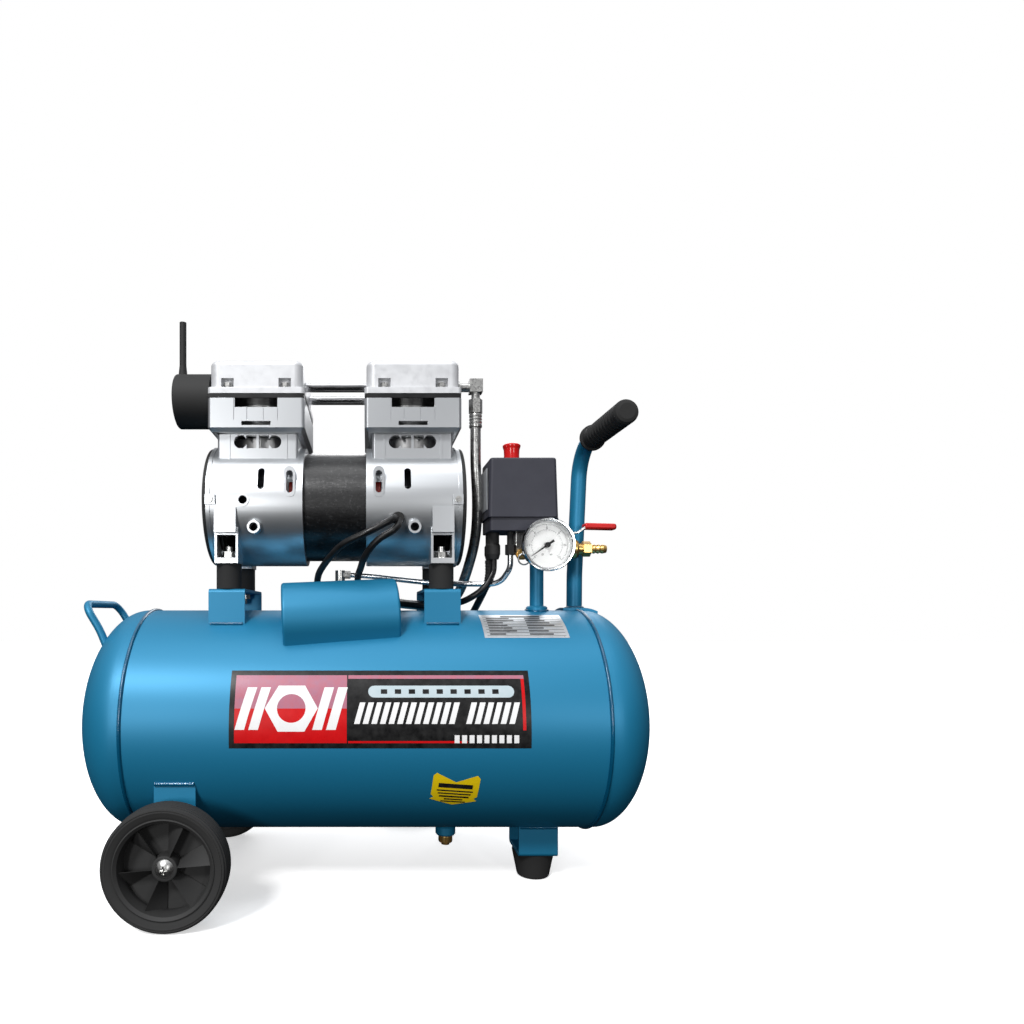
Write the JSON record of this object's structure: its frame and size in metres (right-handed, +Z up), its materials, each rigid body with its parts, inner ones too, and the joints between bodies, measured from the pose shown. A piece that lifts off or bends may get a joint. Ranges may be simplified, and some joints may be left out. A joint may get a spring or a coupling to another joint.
{
  "type": "air compressor",
  "caption": "Horizontal-tank air compressor on two wheels and a foot, with an oil-free twin-head pump, pressure switch, gauge and outlet valve",
  "frame": {"origin": "on the ground under the middle of the tank, the mains cord left out of the box", "axes": "+X along the tank towards the pull handle, +Y across it from the front to the back, +Z up"},
  "size_m": [0.5956, 0.431, 0.6025],
  "materials": {
    "tank_paint": "gloss teal-blue metallic paint",
    "cast_alloy": "satin die-cast with a fine cast grain",
    "steel": "zinc-plated",
    "bright_tube": "polished",
    "hose_braid": "woven stainless braid",
    "alloy_tube": "drawn tube",
    "black_metal": "semi-gloss varnish over laminations",
    "copper_wire": "red enamelled copper",
    "black_rubber": "matt",
    "tyre_rubber": "matt with a faint bloom",
    "hub_plastic": "moulded",
    "grey_plastic": "fine moulded grain",
    "black_plastic": "moulded",
    "red_plastic": "gloss",
    "red_vinyl": "dipped",
    "brass": "turned",
    "chrome_case": "polished",
    "dial_white": "matt white",
    "needle_black": "matt",
    "lens": "clear",
    "cable_black": "smooth PVC",
    "ground_steel": "ground"
  },
  "bodies": {
    "frame": {"tank_shell": "tank_paint", "tank_end_left": "tank_paint", "tank_end_right": "tank_paint", "pump_brackets": "tank_paint", "axle_brackets": "tank_paint", "foot_bracket": "tank_paint", "carry_handle": "tank_paint", "pull_handle": "tank_paint", "capacitor_cover": "tank_paint", "riser_pipe": "tank_paint", "capacitor": "black_plastic", "handle_grip": "black_rubber", "rubber_foot": "black_rubber", "rubber_mounts": "black_rubber", "lead_grommet": "black_rubber", "chassis_bolts": "steel", "pump_fasteners": "steel", "end_bell_left": "cast_alloy", "end_bell_right": "cast_alloy", "cylinders": "cast_alloy", "cylinder_head_left": "cast_alloy", "cylinder_head_right": "cast_alloy", "cylinder_sleeves": "ground_steel", "valve_plates": "black_metal", "end_covers": "black_plastic", "stator_core": "black_metal", "windings": "copper_wire", "shaft_bearings": "ground_steel", "crossover_tubes": "bright_tube", "intake_muffler": "black_plastic", "discharge_elbow": "steel", "discharge_hose": "hose_braid", "check_valve": "brass", "unloader_tube": "alloy_tube", "switch_base": "black_plastic", "switch_cover": "grey_plastic", "switch_glands": "black_plastic", "manifold_block": "steel", "gauge_case": "chrome_case", "gauge_dial": "dial_white", "gauge_lens": "lens", "outlet_valve": "brass", "safety_valve": "brass", "control_leads": "cable_black", "mains_cord": "cable_black", "mains_coil": "cable_black", "mains_plug": "black_plastic"},
    "front_wheel": {"tyre_front": "tyre_rubber", "wheel_front": "hub_plastic"},
    "back_wheel": {"tyre_back": "tyre_rubber", "wheel_back": "hub_plastic"},
    "crankshaft": {"rotor": "ground_steel", "cooling_fans": "black_plastic"},
    "left_piston": {"piston_left": "cast_alloy"},
    "right_piston": {"piston_right": "cast_alloy"},
    "knob": {"switch_knob": "red_plastic"},
    "needle": {"gauge_needle": "needle_black"},
    "lever": {"valve_lever": "red_vinyl"},
    "relief_ring": {"safety_ring": "steel"},
    "drain": {"drain_screw": "brass"}
  },
  "joints": [
    {"name": "front_wheel_spin", "type": "hinge", "parent": "frame", "child": "front_wheel", "pos_m": [-0.1825, -0.133, 0.0577], "axis": [0, 1, 0], "continuous": true},
    {"name": "back_wheel_spin", "type": "hinge", "parent": "frame", "child": "back_wheel", "pos_m": [-0.1825, 0.133, 0.0577], "axis": [0, 1, 0], "continuous": true},
    {"name": "crankshaft_spin", "type": "hinge", "parent": "frame", "child": "crankshaft", "pos_m": [-0.0322, 0, 0.406], "axis": [1, 0, 0], "continuous": true},
    {"name": "left_piston_stroke", "type": "slide", "parent": "frame", "child": "left_piston", "axis": [0, 0, 1], "range_m": [-0.009, 0.009]},
    {"name": "right_piston_stroke", "type": "slide", "parent": "frame", "child": "right_piston", "axis": [0, 0, 1], "range_m": [-0.009, 0.009]},
    {"name": "switch_knob_push", "type": "slide", "parent": "frame", "child": "knob", "axis": [0, 0, 1], "range_m": [-0.007, 0]},
    {"name": "gauge_needle_turn", "type": "hinge", "parent": "frame", "child": "needle", "pos_m": [0.1873, -0.052, 0.36], "axis": [0, 1, 0], "range_deg": [0, 270], "stiffness_Nm_per_rad": 0.0004},
    {"name": "outlet_lever_turn", "type": "hinge", "parent": "frame", "child": "lever", "pos_m": [0.222, -0.008, 0.38], "axis": [0, 0, 1], "range_deg": [-90, 0]},
    {"name": "relief_ring_pull", "type": "slide", "parent": "frame", "child": "relief_ring", "axis": [0, -1, 0], "range_m": [0, 0.003], "stiffness_N_per_m": 200},
    {"name": "drain_screw_turn", "type": "hinge", "parent": "frame", "child": "drain", "pos_m": [0.088, 0, 0.045], "axis": [0, 0, 1], "range_deg": [0, 360]}
  ],
  "couplings": [
    {"joint": "right_piston_stroke", "follows": "left_piston_stroke", "ratio": -1}
  ]
}
